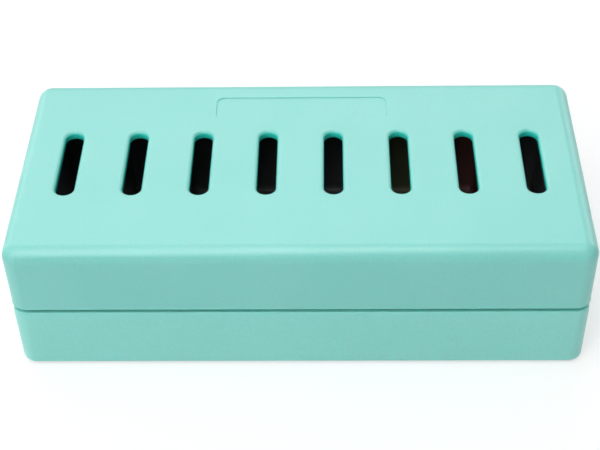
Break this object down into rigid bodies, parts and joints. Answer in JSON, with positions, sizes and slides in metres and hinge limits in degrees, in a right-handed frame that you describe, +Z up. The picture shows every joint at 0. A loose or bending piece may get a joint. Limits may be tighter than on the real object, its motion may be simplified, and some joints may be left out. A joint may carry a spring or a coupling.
{
  "type": "contact lens case",
  "caption": "Oblong two-shell storage case: a hinged lid with round-ended slots over a row of open bins that lift out.",
  "frame": {"origin": "on the table, under the middle of the closed case's bounding box, hinge knuckles included", "axes": "+X to the right along the row of bins, +Y to the rear, towards the hinges, +Z up"},
  "size_m": [0.1402, 0.071, 0.0385],
  "materials": {
    "mint_plastic": "satin, fine grain",
    "dark_plastic": "satin",
    "olive_plastic": "satin",
    "brick_plastic": "satin",
    "silicone": "matt",
    "pin_steel": "ground"
  },
  "bodies": {
    "base": {"base_shell": "mint_plastic", "bin_1": "dark_plastic", "bin_2": "dark_plastic", "bin_3": "dark_plastic", "bin_4": "dark_plastic", "bin_5": "dark_plastic", "bin_6": "olive_plastic", "bin_7": "brick_plastic", "bin_8": "dark_plastic", "foot_front_left": "silicone", "foot_front_right": "silicone", "foot_rear_left": "silicone", "foot_rear_right": "silicone", "hinge_pin_left": "pin_steel", "hinge_pin_right": "pin_steel"},
    "lid": {"lid_shell": "mint_plastic"}
  },
  "joints": [
    {"name": "lid_hinge", "type": "hinge", "parent": "base", "child": "lid", "pos_m": [0, 0.0328, 0.01925], "axis": [-1, 0, 0], "range_deg": [0, 180]}
  ]
}
